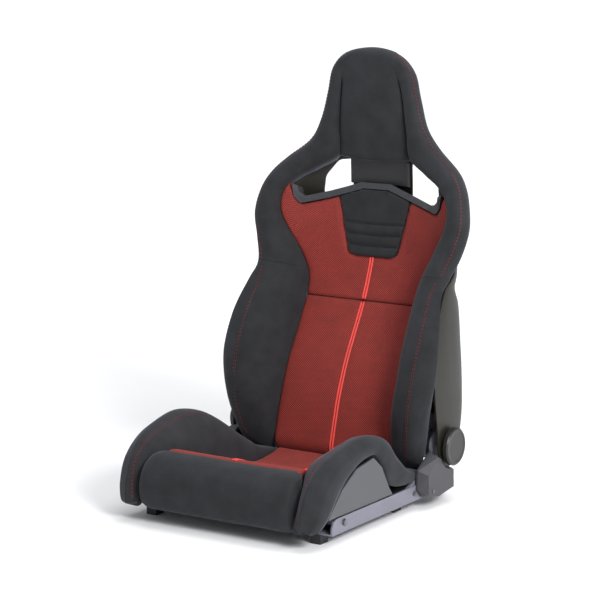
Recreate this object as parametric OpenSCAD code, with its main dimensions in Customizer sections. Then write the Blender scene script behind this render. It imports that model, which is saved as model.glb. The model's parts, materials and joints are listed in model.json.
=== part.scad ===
// Reclining bucket seat: a steel base with a foam cushion, and a shell backrest
// that tilts about a cross shaft turned by a handwheel on each side.
// Frame: +Z up, the seat faces -Y, X is across. The origin lies on the floor at
// the centre of the four base mounting holes. Millimetres.

/* [Base] */
// Distance between the left and right mounting holes
mount_span_x = 410; // [400:1:420]
// Distance between the front and rear mounting holes
mount_span_y = 290; // [270:1:300]
// Height of the mounting blocks under the side plates
block_h = 20; // [15:1:21]
// Radius of the tapped mounting holes (M8 core)
mount_hole_r = 3.4; // [3:0.1:4.5]
// Outer face of each steel side plate, from the middle
plate_x = 243; // [243:1:244]

/* [Recliner] */
// Distance of the recline axis behind the mounting centre
pivot_y = 283; // [280:1:290]
// Height of the recline axis above the floor
pivot_z = 121; // [119:1:125]
// Tilt of the backrest from vertical at rest, in degrees
rest_tilt = 18; // [16:0.5:20]
// Radius of the cross shaft
shaft_r = 5; // [4:0.5:6]
// Radius of the handwheels
wheel_r = 41; // [36:1:44]
// Outer face of each handwheel, from the middle
wheel_x = 282; // [280:1:286]

/* [Upholstery] */
// Thickness of the foam under the backrest's centre panels
panel_foam = 14; // [10:1:15]
// Clearance between neighbouring upholstered pieces
seam_gap = 0.8; // [0.6:0.1:1.5]

/* [Shell] */
// Wall thickness of the backrest shell
shell_wall = 4; // [3:0.5:5]

/* [Hidden] */
$fn = 48;

right = 1;
left = -1;
steel_grey = [0.40, 0.40, 0.44];
plastic_grey = [0.27, 0.27, 0.30];
plastic_black = [0.07, 0.07, 0.07];
shell_olive = [0.14, 0.13, 0.11];
cloth_black = [0.13, 0.13, 0.14];
cloth_red = [0.50, 0.12, 0.10];
zinc = [0.75, 0.75, 0.78];

// ---- Curves and lofts ----------------------------------------------------

// Rows of a key table are [position, value, ...]; curve() runs smoothly through them.
function key_row(t, keys, i = 0) =
    (i >= len(keys) - 2 || t < keys[i + 1][0]) ? i : key_row(t, keys, i + 1);
function key_slope(keys, i) =
    let(a = max(i - 1, 0), b = min(i + 1, len(keys) - 1))
    (keys[b] - keys[a]) / (keys[b][0] - keys[a][0]);
function hermite(a, b, ma, mb, u) =
    (2 * u^3 - 3 * u^2 + 1) * a + (u^3 - 2 * u^2 + u) * ma + (3 * u^2 - 2 * u^3) * b + (u^3 - u^2) * mb;
function curve(t, keys) =
    let(i = key_row(t, keys), h = keys[i + 1][0] - keys[i][0], u = min(max((t - keys[i][0]) / h, 0), 1))
    hermite(keys[i], keys[i + 1], key_slope(keys, i) * h, key_slope(keys, i + 1) * h, u)[1];

// A rail is a list of 3-D points; rail() runs smoothly through them, t counting the points.
// A rail that ends on the middle line crosses it squarely.
function rail_slope(pts, i) =
    let(a = max(i - 1, 0), b = min(i + 1, len(pts) - 1))
    i == len(pts) - 1 && pts[i][0] == 0 ? [-pts[a][0], 0, 0] : (pts[b] - pts[a]) / (b - a);
function rail(t, pts) =
    let(i = min(floor(t), len(pts) - 2), u = t - i)
    hermite(pts[i], pts[i + 1], rail_slope(pts, i), rail_slope(pts, i + 1), u);

// Closed solid through a list of rings with equal numbers of points. A folded ring runs along one face
// and back along the other, and its ends close with strips between the two faces.
module loft(rings, folded = false) {
    n = len(rings[0]);
    m = len(rings);
    sides = [for (i = [0:m - 2]) for (j = [0:n - 1]) let(k = (j + 1) % n)
        each [[i * n + j, i * n + k, (i + 1) * n + k], [i * n + j, (i + 1) * n + k, (i + 1) * n + j]]];
    plain = [[for (j = [n - 1:-1:0]) j], [for (j = [0:n - 1]) (m - 1) * n + j]];
    strips = [for (j = [0:n / 2 - 2]) let(k = n - 1 - j, e = (m - 1) * n)
        each [[j + 1, j, k], [j + 1, k, k - 1], [e + j, e + j + 1, e + k], [e + j + 1, e + k - 1, e + k]]];
    caps = folded ? strips : plain;
    polyhedron([for (ring = rings) each ring], concat(sides, caps), convexity = 6);
}

// Mirrors a right-hand piece to the side asked for.
module on_side(side) {
    if (side == right) children();
    else mirror([1, 0, 0]) children();
}

// ---- Backrest frame of reference ------------------------------------------

// In the backrest's own frame z runs up the back from the recline axis and -y faces the occupant.
module in_backrest() translate([0, pivot_y, pivot_z]) rotate([-rest_tilt, 0, 0]) children();
// Backrest rails and tables give [x, height, depth], with depth forward of the recline axis.
function back_point(p) = [p[0], -p[2], p[1]];

// Forward depth of the centre panels' front, up the middle of the back: [height, depth]
panel_middle = [[-66, 28], [-48, 43], [-20, 47], [20, 49], [70, 50], [150, 43], [240, 24], [290, 14], [340, 9],
    [400, 9], [470, 23], [545, 40], [600, 50]];
// The same along the panels' side seams
panel_side = [[-66, 32], [-48, 46], [-20, 50], [40, 52], [130, 48], [220, 32], [300, 19], [345, 22], [400, 44],
    [455, 80], [505, 92], [540, 88], [600, 74]];
// Half width of the centre panels: [height, x]
panel_half = [[-66, 148], [-48, 151], [-20, 152], [130, 152], [220, 150], [300, 150], [345, 155], [400, 181.6],
    [455, 211.6], [505, 212], [540, 185], [600, 96]];

// Upholstered border of the backrest, from its lower end up and over the head: [x, height, depth]
inner_rail = [[160, -57, 21], [152, -28, 40], [152, 40, 50], [152, 130, 48], [150, 220, 32],
    [150, 300, 19], [155, 345, 22], [182, 400, 44], [212, 455, 80], [213, 505, 92], [186, 540, 88],
    [138, 570, 78], [94, 603, 74], [89, 660, 99], [80, 728, 129], [70, 768, 146], [45, 787, 153],
    [0, 792, 155]];
crest_rail = [[186, -62, 36], [206, -36, 80], [222, 40, 128], [226, 130, 141], [220, 220, 131],
    [212, 300, 112], [211, 345, 102], [228, 400, 102], [246, 455, 113], [240, 508, 115], [217, 550, 110],
    [178, 585, 104], [133, 622, 105], [111, 668, 119], [98, 730, 138], [84, 780, 156], [53, 806, 163],
    [0, 814, 165]];
outer_rail = [[214, -60, 26], [230, -38, 58], [253, 40, 100], [271, 130, 121], [264, 220, 124],
    [247, 300, 110], [245, 345, 87], [261, 400, 82], [272, 455, 88], [263, 510, 90], [246, 550, 86],
    [218, 585, 80], [164, 630, 76], [134, 672, 95], [116, 730, 111], [101, 784, 131], [64, 820, 145],
    [0, 836, 149]];
rear_rail = [[208, -55, 8], [224, -32, 34], [244, 40, 72], [248, 130, 113], [246, 220, 121],
    [238, 300, 107], [233, 345, 78], [229, 400, 55], [233, 455, 55], [221, 510, 55], [205, 550, 53],
    [181, 580, 51], [133, 625, 54], [107, 668, 70], [92, 728, 90], [78, 780, 110], [48, 812, 125],
    [0, 828, 129]];
border_join = 6; // the rail point where the lower bolsters meet the shoulder surround
border_top = len(inner_rail) - 1;
quarter_steps = 5;
foam_lip = 18; // depth of the border's wall beside the centre panels

// One ring of the border at rail position t: inner seam, crest, outer edge, rear edge and underside.
function border_ring(t, side, step = 90 / quarter_steps) =
    let(a = rail(t, inner_rail), c = rail(t, crest_rail), o = rail(t, outer_rail), r = rail(t, rear_rail),
        up = [for (q = [0:step:90 - step]) [c[0] + (a[0] - c[0]) * cos(q), c[1] + (a[1] - c[1]) * cos(q),
            a[2] + (c[2] - a[2]) * sin(q)]],
        over = [for (q = [0:step:90 - step]) [c[0] + (o[0] - c[0]) * sin(q), c[1] + (o[1] - c[1]) * sin(q),
            o[2] + (c[2] - o[2]) * cos(q)]],
        back = [for (q = [0:step * 2:90]) [r[0] + (o[0] - r[0]) * cos(q), r[1] + (o[1] - r[1]) * cos(q),
            o[2] - (o[2] - r[2]) * sin(q)]],
        under = [[a[0], a[1], a[2] - foam_lip]])
    [for (p = concat(up, over, back, under)) back_point([side * p[0], p[1], p[2]])];

// ---- Backrest upholstery ---------------------------------------------------

module back_bolster(side) color(cloth_black) in_backrest() {
    rings = [for (t = [0:0.5:border_join - 0.04]) border_ring(t, right)];
    last = border_ring(border_join - 0.015, right);
    on_side(side) loft(concat(rings, [last]));
}

module shoulder_surround() color(cloth_black) in_backrest() {
    up = [for (t = [border_join:0.5:border_top]) border_ring(t, right)];
    down = [for (t = [border_top - 0.5:-0.5:border_join]) border_ring(t, left)];
    loft(concat(up, down));
}

// Depth of the centre panels' front at a place across and up the back
function panel_depth(u, h) =
    curve(h, panel_middle) + (curve(h, panel_side) - curve(h, panel_middle)) * pow(abs(u), 2.4);
panel_steps = 10;
function panel_ring(h, foam) =
    let(w = curve(h, panel_half) - seam_gap)
    concat([for (i = [-panel_steps:panel_steps]) let(u = i / panel_steps) [u * w, -panel_depth(u, h), h]],
        [for (u = [1, 0.75, 0.4, -0.4, -0.75, -1]) [u * w, foam - panel_depth(u, h), h]]);
module panel_slab(low, high, step, foam = panel_foam) {
    n = ceil((high - low) / step);
    loft([for (i = [0:n]) panel_ring(low + (high - low) * i / n, foam)]);
}
// Prism through the back from an outline of [x, height] points
module through_back(outline, gap = 0)
    rotate([90, 0, 0]) linear_extrude(height = 400, center = true) offset(delta = -gap) polygon(outline);

panel_seam_h = 290; // the cross seam between the two centre panels
module lower_back_panel() color(cloth_red) in_backrest()
    panel_slab(-66, panel_seam_h - seam_gap / 2, 20);

function both_halves(half) =
    concat(half, [for (i = [len(half) - 1:-1:0]) if (half[i][0] > 0) [-half[i][0], half[i][1]]]);
// Trim along the lower edge of the belt openings: [x, height], right half from the middle out
trim_low = [[0, 536], [32, 536], [174, 487], [187, 498], [192, 526]];
trim_high = [[180, 524], [177, 512], [164, 504], [38, 549], [0, 549]];
trim_outline = both_halves(concat(trim_low, trim_high));
// Everything above the trim's lower edge
above_trim = both_halves(concat([for (i = [0:3]) trim_low[i]], [[191, 520], [230, 534], [230, 700], [0, 700]]));
module through_trim(grow) rotate([90, 0, 0]) linear_extrude(height = 400, center = true)
    offset(delta = grow) polygon(above_trim);

patch_half = [[0, 390], [50, 391], [63, 404], [92, 520], [92, 560]];
patch_outline = both_halves(patch_half);
module shoulder_patch() color(cloth_black) in_backrest() difference() {
    intersection() {
        translate([0, -4, 0]) panel_slab(380, 560, 18, panel_foam);
        through_back(patch_outline, seam_gap / 2);
    }
    through_trim(seam_gap);
}
module upper_back_panel() color(cloth_red) in_backrest() difference() {
    panel_slab(panel_seam_h + seam_gap / 2, 540, 19);
    through_trim(seam_gap);
    through_back(patch_outline, -seam_gap / 2);
}

head_pad_low = 603;
head_crown = 9;
function head_ring(t, foam = 26) =
    let(a = rail(t, inner_rail), w = a[0] - seam_gap)
    concat([for (i = [-8:8]) let(u = i / 8) [u * w, -(a[2] + head_crown * (1 - u * u)), a[1]]],
        [[w, foam - a[2], a[1]], [-w, foam - a[2], a[1]]]);
module head_pad() color(cloth_black) in_backrest()
    loft([for (t = [12, 12.5, 13, 13.5, 14, 14.5, 15, 15.5, 15.96]) head_ring(t)]);

// ---- Backrest shell, bezel and frame ---------------------------------------

// Depth of the shell's back face up the middle: [height, depth]
shell_back = [[-48, -62], [50, -70], [103, -70], [206, -60], [307, -50], [345, -44], [400, -36],
    [455, -24], [510, -6], [560, 12], [600, 28], [660, 51], [730, 74], [790, 97], [829, 112]];
// Front edge of the shell's side walls: [x, height, depth]
shell_rail = [[262, -48, 14], [262, -26, 33], [262, 19, 55], [262, 75, 84], [261, 133, 108], [258, 200, 119],
    [252, 264, 113], [246, 323, 94], [239, 360, 58], [234, 400, 50], [238, 455, 50], [226, 510, 50],
    [209, 550, 48], [185, 580, 46], [137, 625, 49], [112, 668, 65], [97, 728, 85], [83, 780, 105],
    [52, 812, 121], [5, 829, 124]];
shell_end = len(shell_rail) - 1;
// Squareness of the shell's section: [height, power]; 1 is an ellipse and less is boxier
shell_power = [[-48, 0.18], [50, 0.2], [103, 0.24], [206, 0.37], [307, 0.58], [345, 0.9], [400, 1], [829, 1]];
shell_steps = 9;
function signed_pow(v, e) = sign(v) * pow(abs(v), e);
function shell_line(t, wall) =
    let(f = rail(t, shell_rail), e = curve(f[1], shell_power), w = f[0] - wall,
        back = min(curve(f[1], shell_back), f[2] - 1) + wall)
    [for (i = [-shell_steps:shell_steps]) let(q = 90 * i / shell_steps)
        [w * signed_pow(sin(q), e), -(back + (f[2] - back) * (1 - pow(max(cos(q), 0), e))), f[1]]];
// Depth of the shell's inner face near the middle at a place [x, height], with w the half width there
function shell_inner(x, h, w) =
    let(e = curve(h, shell_power), q = asin(min(pow(abs(x) / w, 1 / e), 1)),
        back = curve(h, shell_back) + shell_wall) back + (50 - back) * (1 - pow(cos(q), e));
module shell_skin() loft([for (t = [0:0.5:shell_end]) let(outside = shell_line(t, 0), inside = shell_line(t, shell_wall))
    concat(outside, [for (i = [len(inside) - 1:-1:0]) inside[i]])], folded = true);

// Belt slot through the shell, right side: [x, height]
slot_outline = [[76, 516], [142, 516], [149, 526], [145, 562], [112, 598], [76, 603]];
cheek_r = 46;
module back_shell() color(shell_olive) in_backrest() difference() {
    shell_skin();
    for (side = [left, right]) on_side(side) through_back(slot_outline);
    // The back of the shell stops above the recline axis; a round cheek on each side carries on past it
    translate([-255, -100, -80]) cube([510, 200, 100]);
    for (side = [left, right]) on_side(side) translate([250, 0, 0]) rotate([0, 90, 0]) difference() {
        translate([0, -100, 0]) cube([80, 200, 20]);
        translate([0, 0, -1]) cylinder(r = cheek_r, h = 22);
    }
    for (side = [left, right]) on_side(side) translate([250, 0, 0]) rotate([0, 90, 0])
        cylinder(r = shaft_r + 1.5, h = 20);
    for (p = shell_screw_places) translate([p[0], 0, p[1]]) rotate([-90, 0, 0]) cylinder(r = 3.2, h = 100);
}
shell_screw_places = [[-120, 60], [120, 60], [-60, 360], [60, 360]];
module shell_screws() color(plastic_black) in_backrest() for (p = shell_screw_places)
    translate([p[0], 1 - shell_inner(p[0], p[1], 240), p[1]]) rotate([-90, 0, 0]) {
        cylinder(r = 2.8, h = 8);
        translate([0, 0, 5.5]) cylinder(r1 = 7.5, r2 = 6, h = 3);
    }

// The trim's front follows the panels; its rear rests on the shell.
function trim_front(x, h) = panel_depth(min(abs(x) / curve(h, panel_half), 1), h) + 2.5;
module belt_trim() color(plastic_grey) in_backrest() intersection() {
    hs = [484, 500, 515, 530, 550];
    xs = [-200, -180, -150, -110, -70, -38, 0, 38, 70, 110, 150, 180, 200];
    loft([for (h = hs) concat([for (x = xs) [x, -trim_front(x, h), h]],
        [for (i = [len(xs) - 1:-1:0]) [xs[i], 22 - trim_front(xs[i], h), h]])], folded = true);
    through_back(trim_outline);
}
spine_half = 73;
// Block between the two belt openings, in front of the shell
module spine_block() color(plastic_black) in_backrest()
    loft([for (h = [549.5, 562, 574, 587, 600]) let(d = shell_inner(spine_half, h, 190) + 1.5)
        [[-spine_half, -d, h], [-spine_half, -d - 14, h], [spine_half, -d - 14, h], [spine_half, -d, h]]]);

// Rod that follows a list of points, with a weld bead at each
module rod(points, r) {
    for (i = [0:len(points) - 2]) let(a = points[i], v = points[i + 1] - a, l = norm(v))
        translate(a) rotate([0, acos(v[2] / l), atan2(v[1], v[0])]) cylinder(r = r, h = l, $fn = 24);
    for (a = points) translate(a) sphere(r = r + 0.8, $fn = 24);
}
frame_r = 6;
frame_x = 205;
// Right side of the welded hoop, from the recliner up: [x, height, depth]
frame_rail = [[frame_x, 24, 8], [frame_x, 140, 8], [150, 290, -10], [108, 404, -12]];
frame_bolt_h = [70, 110];
frame_bolt_d = 16;
module back_frame() color(steel_grey) in_backrest() difference() {
    back_hoop();
    for (h = spring_h) translate([-hoop_x(h) - 1, -hoop_depth(h), h]) rotate([0, 90, 0])
        cylinder(r = spring_r + 0.3, h = 2 * hoop_x(h) + 2, $fn = 16);
}
module back_hoop() {
    side_points = [for (p = frame_rail) back_point(p)];
    for (side = [left, right]) on_side(side) difference() {
        union() {
            rod(side_points, frame_r);
            translate([arm_in - 6, -28, 50]) cube([6, 30, 80]);
        }
        for (h = frame_bolt_h) translate([190, -frame_bolt_d - 4, h]) rotate([0, 90, 0]) cylinder(r = 4.2, h = 40);
    }
    for (p = [[frame_x, 40, 8], [108, 404, -12]])
        translate([-p[0], -p[2], p[1]]) rotate([0, 90, 0]) cylinder(r = frame_r - 1, h = 2 * p[0], $fn = 24);
}
spring_r = 2;
spring_h = [170, 215, 260, 305, 350]; // the wires' ends sit in holes in the hoop
// Across and depth of the hoop at a height, for the wires that span it
function hoop_x(h) = lookup(h, [[140, frame_x], [290, 150], [404, 108]]);
function hoop_depth(h) = lookup(h, [[140, 8], [290, -10], [404, -12]]);
module back_springs() color(zinc) in_backrest() for (h = spring_h)
    translate([-hoop_x(h), -hoop_depth(h), h]) rotate([0, 90, 0]) cylinder(r = spring_r, h = 2 * hoop_x(h), $fn = 16);

// ---- Recliner ----------------------------------------------------------------

// Places across the seat, from the middle: moving arm, the two gear halves, fixed arm
arm_in = 212;
arm_wall = 6;
gear_mid = 225;
gear_r = 30;
lower_arm_in = plate_x - 4 - arm_wall;
module recliner_upper_arm(side) color(steel_grey) in_backrest() on_side(side)
    translate([arm_in, 0, 0]) rotate([0, 90, 0]) difference() {
        union() {
            cylinder(r = 34, h = arm_wall);
            translate([-130, -30, 0]) cube([130, 34, arm_wall]);
        }
        translate([0, 0, -1]) cylinder(r = shaft_r + 1, h = 20);
        for (h = frame_bolt_h) translate([-h, -frame_bolt_d - 4, -1]) cylinder(r = 4.2, h = 20);
    }
module recliner_moving_half(side) color(steel_grey) in_backrest() on_side(side)
    translate([arm_in + arm_wall, 0, 0]) rotate([0, 90, 0]) difference() {
        cylinder(r = gear_r, h = gear_mid - arm_in - arm_wall - 0.15);
        translate([0, 0, -1]) cylinder(r = shaft_r + 0.05, h = 20);
    }
module recliner_fixed_half(side) color(steel_grey) translate([0, pivot_y, pivot_z]) on_side(side)
    translate([gear_mid + 0.15, 0, 0]) rotate([0, 90, 0]) difference() {
        cylinder(r = gear_r, h = lower_arm_in - gear_mid - 0.15);
        translate([0, 0, -1]) cylinder(r = shaft_r + 0.05, h = 20);
    }
// Outline of the fixed arm, [y, z]
lower_arm_foot = [[150, 25], [240, 25], [300, 85], [258, 113], [210, 75], [150, 51]];
module recliner_lower_arm(side) color(steel_grey) on_side(side)
    translate([lower_arm_in, 0, 0]) difference() {
        rotate([90, 0, 90]) linear_extrude(height = arm_wall) union() {
            polygon(lower_arm_foot);
            translate([pivot_y, pivot_z]) circle(r = 34);
        }
        translate([-1, pivot_y, pivot_z]) rotate([0, 90, 0]) cylinder(r = shaft_r + 1, h = 20);
        for (y = arm_bolt_y) translate([-1, y, arm_bolt_z]) rotate([0, 90, 0]) cylinder(r = 4.2, h = 20);
    }
arm_bolt_y = [170, 215];
arm_bolt_z = 37;

// The shaft passes both arms and both gear halves and carries a wheel at each end.
module cross_shaft() color(zinc) translate([-wheel_x + 5, pivot_y, pivot_z]) rotate([0, 90, 0])
    cylinder(r = shaft_r, h = 2 * wheel_x - 10);
wheel_w = 13;
module handwheel(side) color(shell_olive) translate([0, pivot_y, pivot_z]) on_side(side)
    translate([wheel_x, 0, 0]) rotate([0, -90, 0]) difference() {
        rotate_extrude($fn = 72) polygon([[0, 1], [30, 1], [36, 0], [wheel_r - 3, 0], [wheel_r, 3],
            [wheel_r, wheel_w - 2], [wheel_r - 2, wheel_w], [0, wheel_w]]);
        translate([0, 0, 5]) cylinder(r = shaft_r, h = wheel_w);
    }

// ---- Base ----------------------------------------------------------------------

plate_wall = 4;
plate_front = -156;
plate_rear = 244;
plate_top = 53;
front_bolt = [-112, 41];
module side_plate(side) color(steel_grey) on_side(side) difference() {
    union() {
        translate([plate_x - plate_wall, 0, 0]) rotate([90, 0, 90]) linear_extrude(height = plate_wall)
            polygon([[plate_front, block_h], [plate_rear, block_h], [plate_rear + 10, block_h + 10],
                [plate_rear + 10, plate_top - 6], [plate_rear, plate_top], [plate_front + 18, plate_top],
                [plate_front + 6, plate_top - 5], [plate_front, plate_top - 18]]);
        translate([185, plate_front, block_h]) cube([plate_x - 185, plate_rear - plate_front, 3]);
    }
    for (sy = [-1, 1]) translate([mount_span_x / 2, sy * mount_span_y / 2, block_h - 1])
        cylinder(r = 4.5, h = 6);
    translate([plate_x - 10, front_bolt[0], front_bolt[1]]) rotate([0, 90, 0]) cylinder(r = 4.2, h = 20);
    for (y = arm_bolt_y) translate([plate_x - 10, y, arm_bolt_z]) rotate([0, 90, 0]) cylinder(r = 4.2, h = 20);
}
block_x = 24;
block_y = 30;
module mount_blocks() color(plastic_black) for (sx = [-1, 1], sy = [-1, 1])
    translate([sx * mount_span_x / 2, sy * mount_span_y / 2, 0]) difference() {
        translate([-block_x / 2, -block_y / 2, 0]) cube([block_x, block_y, block_h]);
        translate([0, 0, -1]) cylinder(r = mount_hole_r, h = block_h + 2);
    }
front_tube = [-112, 41];
rear_tube = [125, 35];
module cross_tube(place) color(steel_grey) translate([-(plate_x - plate_wall), place[0], place[1]])
    rotate([0, 90, 0]) difference() {
        cylinder(r = 11, h = 2 * (plate_x - plate_wall));
        translate([0, 0, -1]) cylinder(r = 9, h = 2 * plate_x);
    }
module bolt(head_r, head_h, shank_r, shank) {
    translate([0, 0, -head_h]) cylinder(r = head_r, h = head_h, $fn = 6);
    cylinder(r = shank_r, h = shank);
}
module base_bolts() color(zinc) for (side = [left, right]) on_side(side) {
    translate([plate_x, front_bolt[0], front_bolt[1]]) rotate([0, -90, 0]) bolt(7, 5, 4, 14);
    for (y = arm_bolt_y) translate([plate_x, y, arm_bolt_z]) rotate([0, -90, 0]) bolt(6, 1.5, 4, 12);
}
module frame_bolts() color(zinc) in_backrest() for (side = [left, right], h = frame_bolt_h) on_side(side)
    translate([arm_in + arm_wall, -frame_bolt_d - 4, h]) rotate([0, -90, 0]) bolt(7, 5, 4, 14);

// Five-sided cover over each fixed arm: outlines at its inner and outer faces, [y, z]
cover_inner = [[176, 43], [196, 25], [234, 19], [300, 28], [300, 73], [256, 91], [228, 115], [178, 85]];
cover_outer = [[186, 35], [200, 27], [229, 22], [294, 30], [293, 68], [253, 83], [227, 108], [185, 76]];
cover_x = 270;
module recliner_cover(side) color(plastic_grey) on_side(side) difference() {
    hull() {
        translate([plate_x + 0.5, 0, 0]) rotate([90, 0, 90]) linear_extrude(height = 4) polygon(cover_inner);
        translate([cover_x - 1, 0, 0]) rotate([90, 0, 90]) linear_extrude(height = 1) polygon(cover_outer);
    }
    difference() {
        hull() {
            translate([plate_x - 1, 0, 0]) rotate([90, 0, 90]) linear_extrude(height = 3)
                offset(delta = -3) polygon(cover_inner);
            translate([cover_x - 4, 0, 0]) rotate([90, 0, 90]) linear_extrude(height = 1)
                offset(delta = -3) polygon(cover_outer);
        }
        translate([plate_x - 2, pivot_y, pivot_z]) rotate([0, 90, 0]) cylinder(r = cheek_r + 6, h = 42);
    }
    translate([plate_x - 1, pivot_y, pivot_z]) rotate([0, 90, 0]) cylinder(r = cheek_r + 3, h = 40);
}
module cover_screws() color(zinc) for (side = [left, right]) on_side(side)
    translate([cover_x + 1.5, 205, 38]) rotate([0, -90, 0]) cylinder(r = 4, h = 1.5);

// ---- Seat cushion ----------------------------------------------------------------

// Height of the cushion's centre along the seat: [y, z]
seat_middle = [[-172, 137], [-150, 142], [-120, 135], [-60, 107], [0, 85], [70, 69], [136, 62], [200, 69],
    [240, 81]];
// Half width of the red centre panel: [y, x]
seat_half = [[-172, 166], [-130, 164], [-60, 154.6], [0, 148.8], [70, 143], [130, 140], [190, 138], [240, 137]];
// Top of the pan under the foam: [y, z]
pan_top = [[-190, 47], [-165, 77], [-120, 83], [-60, 69], [0, 57], [100, 51], [215, 51]];
pan_wall = 2;
pan_half = lower_arm_in - 0.5; // the pan fits between the fixed arms
seat_front = -158;
module seat_pan() color(plastic_black) {
    ys = [-188, -176, -160, -130, -90, -45, 0, 60, 120, 180, 212];
    rotate([90, 0, 90]) translate([0, 0, -pan_half]) linear_extrude(height = 2 * pan_half)
        polygon(concat([for (y = ys) [y, curve(y, pan_top)]],
            [for (i = [len(ys) - 1:-1:0]) [ys[i], curve(ys[i], pan_top) - pan_wall]]));
}
function seat_ring(y) =
    let(w = curve(y, seat_half) - seam_gap, top = curve(y, seat_middle), low = curve(y, pan_top) + 0.5)
    concat([for (i = [-6:6]) let(u = i / 6) [u * w, y, top + 4 * pow(u, 2)]], [[w, y, low], [-w, y, low]]);
recline_clear_r = 77; // the cushion stays outside this radius of the recline axis
module clear_of_back() translate([-400, pivot_y, pivot_z]) rotate([0, 90, 0])
    cylinder(r = recline_clear_r, h = 800, $fn = 96);
module seat_centre() color(cloth_red) difference() {
    loft([for (y = [seat_front, -150, -135, -120, -90, -60, -30, 0, 35, 70, 105, 140, 170, 200, 225]) seat_ring(y)]);
    clear_of_back();
}
// Thigh roll across the front: its section, [y, z], from the rear seam over the front and under
roll_section = [[-159, 141], [-176, 143], [-200, 135], [-222, 115], [-234, 87], [-235, 63], [-228, 41],
    [-214, 30], [-194, 29], [-192, 47], [-168, 81], [-159, 85]];
roll_half = 184;
// The roll narrows evenly towards its rear, where the side bolsters come in.
function roll_width(y) = 1 - (y + 235) * 0.00066;
module thigh_roll() color(cloth_black) {
    ends = [[-roll_half, 0.90], [-roll_half + 8, 0.97], [-roll_half + 22, 1], [roll_half - 22, 1],
        [roll_half - 8, 0.97], [roll_half, 0.90]];
    middle = [-194, 85];
    loft([for (e = ends) [for (p = roll_section) let(y = p[0] > -170 ? p[0] : middle[0] + (p[0] - middle[0]) * e[1])
        [e[0] * roll_width(y), y, middle[1] + (p[1] - middle[1]) * e[1]]]]);
}
// Side bolsters of the cushion, front to rear: [x, y, z]
seat_inner_rail = [[190, -222, 45], [188, -205, 63], [186, -180, 105], [166, -130, 131], [156, -60, 109],
    [150, 0, 89], [144, 70, 73], [141, 130, 67], [139, 190, 71], [138, 222, 75]];
seat_crest_rail = [[214, -238, 43], [216, -232, 85], [220, -205, 137], [226, -165, 169], [231, -95, 189],
    [232, -20, 198], [231, 50, 181], [228, 98, 141], [224, 150, 95], [216, 216, 77]];
seat_outer_rail = [[236, -226, 41], [247, -212, 77], [252, -190, 121], [254, -150, 149], [255, -90, 168],
    [256, -15, 177], [255, 48, 157], [252, 90, 119], [246, 148, 85], [236, 216, 69]];
seat_lower_rail = [[232, -212, 31], [244, -196, 45], [250, -174, 71], [250.5, -132, 117], [250.5, -75, 149],
    [250.5, -8, 159], [250.5, 28, 131], [250.5, 58, 81], [242, 140, 63], [230, 212, 57]];
function seat_bolster_ring(t, step = 18) =
    let(a = rail(t, seat_inner_rail), c = rail(t, seat_crest_rail), o = rail(t, seat_outer_rail),
        l = rail(t, seat_lower_rail), low = max(curve(min(max(a[1], -188), 212), pan_top) + 2.5, 31))
    concat([for (q = [0:step:90 - step]) [c[0] + (a[0] - c[0]) * cos(q), c[1] + (a[1] - c[1]) * cos(q),
            a[2] + (c[2] - a[2]) * sin(q)]],
        [for (q = [0:step:90 - step]) [c[0] + (o[0] - c[0]) * sin(q), c[1] + (o[1] - c[1]) * sin(q),
            o[2] + (c[2] - o[2]) * cos(q)]],
        [o, l, [min(l[0], 242), l[1], l[2]], [a[0], a[1], min(low, a[2] - 8)]]);
module seat_bolster(side) color(cloth_black) on_side(side) difference() {
    loft([for (t = [0:0.5:9]) seat_bolster_ring(t)]);
    clear_of_back();
    // slot that straddles the fixed arm
    translate([lower_arm_in - 0.6, 0, 0]) rotate([90, 0, 90]) linear_extrude(height = arm_wall + 1.2)
        polygon([[145, 20], [245, 20], [305, 80], [258, 118], [208, 79], [150, 53], [145, 53]]);
}
// Hard panel under each side bolster, [y, z]
valance_outline = [[-187, 58], [-170, 75], [-131, 113], [-75, 145], [-8, 155], [26, 128], [55, 79], [72, 58]];
valance_wall = 4;
module valance(side) color(plastic_grey) on_side(side) translate([246.2, 0, 0]) rotate([90, 0, 90])
    linear_extrude(height = valance_wall) offset(delta = -2) polygon(valance_outline);

// ---- Nodes -------------------------------------------------------------------------

side_plate(left);  // side_plate_left
side_plate(right);  // side_plate_right
mount_blocks();
cross_tube(front_tube);  // front_cross_tube
cross_tube(rear_tube);  // rear_cross_tube
seat_pan();
valance(left);  // valance_left
valance(right);  // valance_right
recliner_lower_arm(left);  // recliner_lower_arm_left
recliner_lower_arm(right);  // recliner_lower_arm_right
recliner_fixed_half(left);  // recliner_fixed_half_left
recliner_fixed_half(right);  // recliner_fixed_half_right
recliner_cover(left);  // recliner_cover_left
recliner_cover(right);  // recliner_cover_right
base_bolts();
cover_screws();
thigh_roll();
seat_centre();
seat_bolster(left);  // seat_bolster_left
seat_bolster(right);  // seat_bolster_right
back_shell();
belt_trim();
spine_block();
back_frame();
back_springs();
recliner_upper_arm(left);  // recliner_upper_arm_left
recliner_upper_arm(right);  // recliner_upper_arm_right
recliner_moving_half(left);  // recliner_moving_half_left
recliner_moving_half(right);  // recliner_moving_half_right
frame_bolts();
shell_screws();
back_bolster(left);  // back_bolster_left
back_bolster(right);  // back_bolster_right
shoulder_surround();
head_pad();
upper_back_panel();
lower_back_panel();
shoulder_patch();
cross_shaft();
handwheel(left);  // handwheel_left
handwheel(right);  // handwheel_right
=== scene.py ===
import json
import math
import bmesh
import bpy
import numpy as np
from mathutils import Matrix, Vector, noise


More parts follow.
